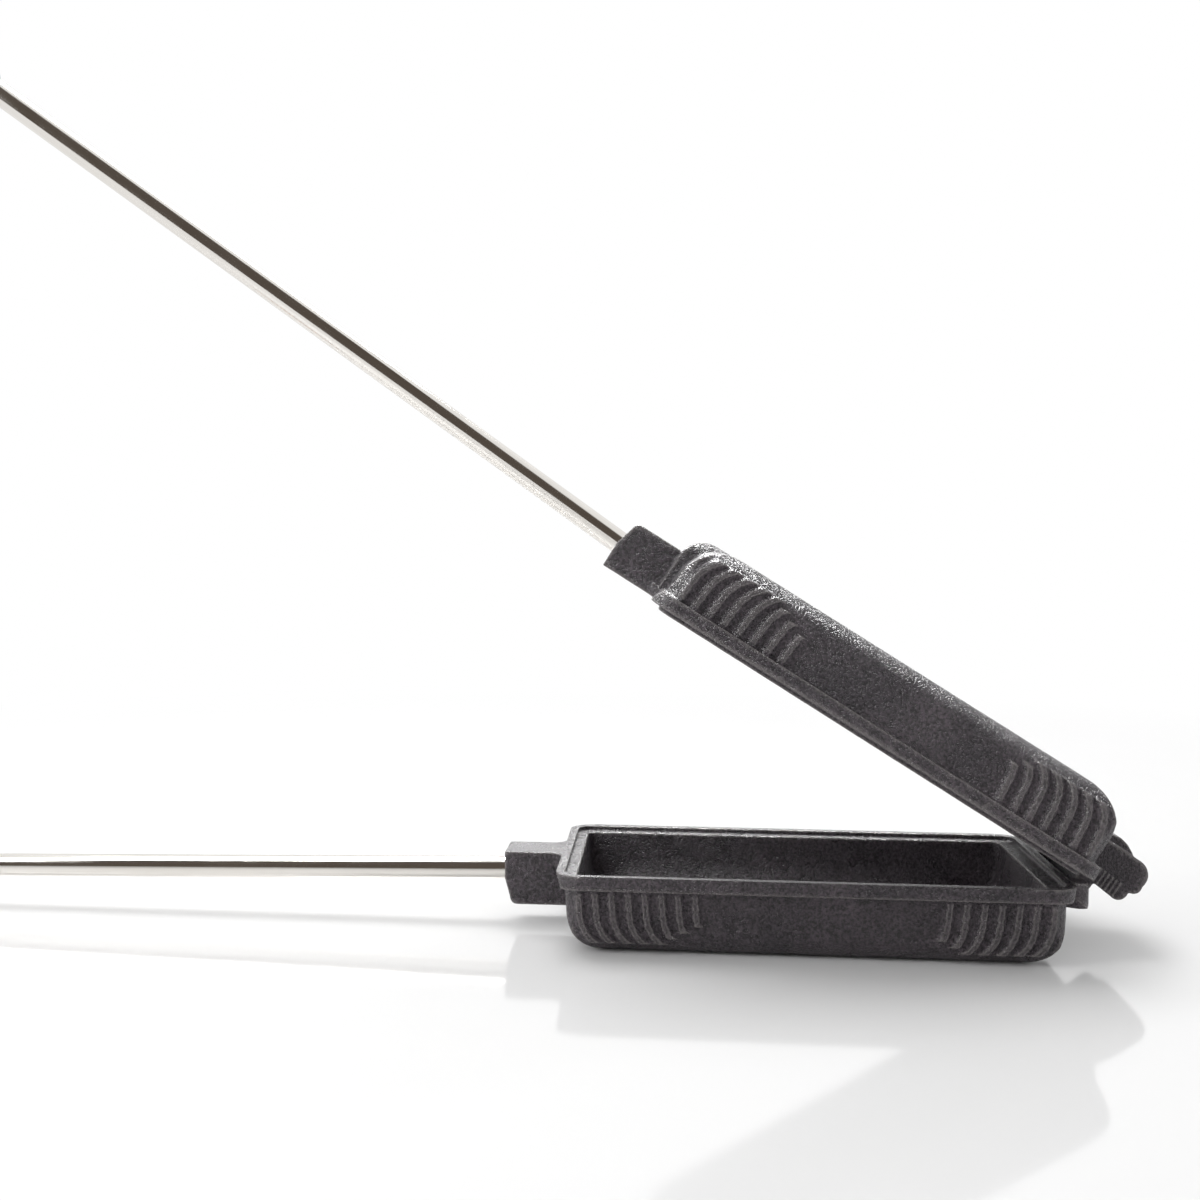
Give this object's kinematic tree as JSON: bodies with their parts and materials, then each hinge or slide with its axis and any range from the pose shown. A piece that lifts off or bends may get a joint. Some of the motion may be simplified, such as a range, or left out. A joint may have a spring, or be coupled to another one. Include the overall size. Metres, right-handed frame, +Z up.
{
  "type": "pie iron",
  "caption": "Long hinged campfire cooking iron: two ribbed rectangular cast pans with deep hollows, each on a bright steel rod with a turned wooden handle.",
  "frame": {"origin": "centre of the flat bottom of the lower pan", "axes": "+X along the length towards the hinge, handles towards -X; +Z up; Y across the width"},
  "size_m": [0.7335, 0.108, 0.4421],
  "materials": {
    "cast_iron": "black seasoned sand-cast iron",
    "rod_steel": "bright plated, drawn bar",
    "pin_steel": "blackened",
    "fittings_steel": "plated",
    "handle_wood": "lacquered hardwood"
  },
  "bodies": {
    "lower_half": {"lower_pan": "cast_iron", "lower_rod": "rod_steel", "lower_ferrule": "fittings_steel", "lower_handle": "handle_wood", "lower_washer": "fittings_steel", "lower_nut": "fittings_steel", "hinge_pin": "pin_steel"},
    "upper_half": {"upper_pan": "cast_iron", "upper_rod": "rod_steel", "upper_ferrule": "fittings_steel", "upper_handle": "handle_wood", "upper_washer": "fittings_steel", "upper_nut": "fittings_steel"}
  },
  "joints": [
    {"name": "hinge", "type": "hinge", "parent": "lower_half", "child": "upper_half", "pos_m": [0.1073, 0, 0.022], "axis": [0, 1, 0], "range_deg": [-32.1, 50]}
  ]
}
